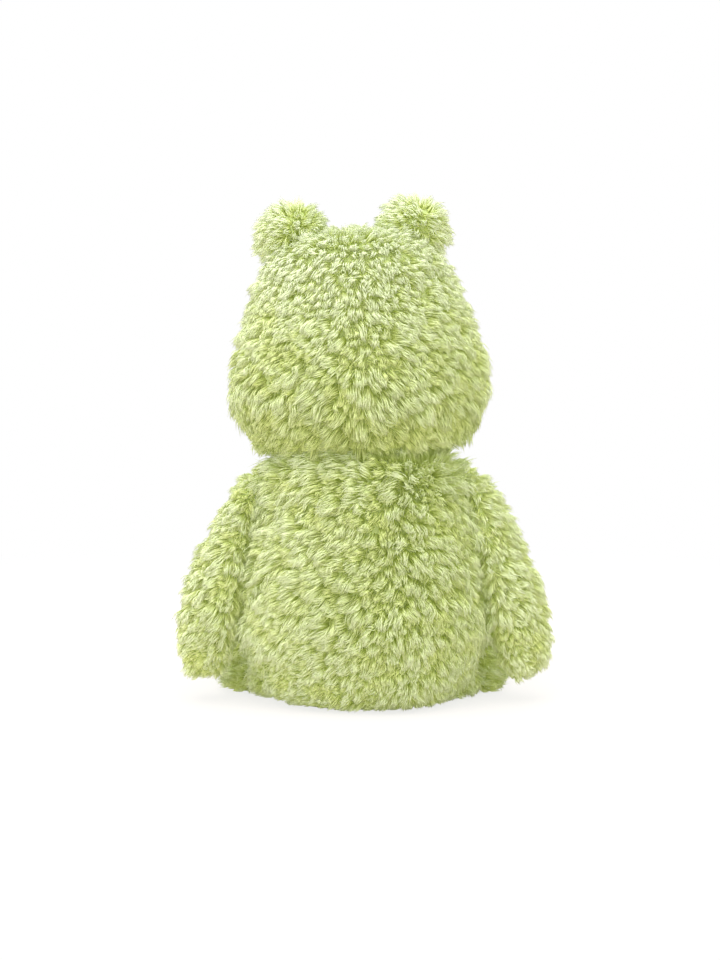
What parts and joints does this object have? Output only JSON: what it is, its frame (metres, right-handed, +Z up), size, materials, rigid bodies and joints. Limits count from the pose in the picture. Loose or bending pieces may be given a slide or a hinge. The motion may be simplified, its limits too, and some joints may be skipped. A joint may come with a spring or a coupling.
{
  "type": "plush frog",
  "caption": "Seated stuffed frog with a shaggy pile, round eye bumps, a head that turns and nods, arms that swing and legs that lift.",
  "frame": {"origin": "where the torso's vertical axis meets the ground, at the centre of the flat seat", "axes": "+Z up, the frog faces -Y, and +X is towards its own left hand"},
  "size_m": [0.2, 0.1844, 0.273],
  "materials": {
    "pile_fabric": "shaggy pile",
    "stuffing": "matte",
    "pellet_cloth": "matte",
    "eye_plastic": "gloss",
    "washer_plastic": "satin",
    "stitching": "matte"
  },
  "bodies": {
    "torso": {"torso_skin": "pile_fabric", "seat_panel": "pile_fabric", "torso_stuffing": "stuffing", "pellet_bag": "pellet_cloth"},
    "neck": {"neck_stuffing": "stuffing"},
    "head": {"head_skin": "pile_fabric", "head_stuffing": "stuffing", "eye_bump_skin_left": "pile_fabric", "eye_bump_stuffing_left": "stuffing", "eye_left": "eye_plastic", "eye_washer_left": "washer_plastic", "nostril_left": "stitching", "eye_bump_skin_right": "pile_fabric", "eye_bump_stuffing_right": "stuffing", "eye_right": "eye_plastic", "eye_washer_right": "washer_plastic", "nostril_right": "stitching", "mouth_stitch": "stitching"},
    "arm_left": {"arm_skin_left": "pile_fabric", "arm_stuffing_left": "stuffing"},
    "arm_right": {"arm_skin_right": "pile_fabric", "arm_stuffing_right": "stuffing"},
    "leg_left": {"leg_skin_left": "pile_fabric", "leg_stuffing_left": "stuffing"},
    "leg_right": {"leg_skin_right": "pile_fabric", "leg_stuffing_right": "stuffing"}
  },
  "joints": [
    {"name": "head_turn", "type": "hinge", "parent": "torso", "child": "neck", "pos_m": [0, 0, 0.135], "axis": [0, 0, 1], "range_deg": [-20, 20], "stiffness_Nm_per_rad": 0.3},
    {"name": "head_nod", "type": "hinge", "parent": "neck", "child": "head", "pos_m": [0, 0, 0.135], "axis": [1, 0, 0], "range_deg": [-7, 7], "stiffness_Nm_per_rad": 0.4},
    {"name": "arm_left_swing", "type": "hinge", "parent": "torso", "child": "arm_left", "pos_m": [0.05688, 0, 0.112], "axis": [0.9803, 0, 0.1977], "range_deg": [-100, 40]},
    {"name": "arm_right_swing", "type": "hinge", "parent": "torso", "child": "arm_right", "pos_m": [-0.05688, 0, 0.112], "axis": [0.9803, 0, -0.1977], "range_deg": [-100, 40]},
    {"name": "leg_left_lift", "type": "hinge", "parent": "torso", "child": "leg_left", "pos_m": [0.051, -0.048, 0.02], "axis": [-1, 0, 0], "range_deg": [0, 35]},
    {"name": "leg_right_lift", "type": "hinge", "parent": "torso", "child": "leg_right", "pos_m": [-0.051, -0.048, 0.02], "axis": [-1, 0, 0], "range_deg": [0, 35]}
  ]
}
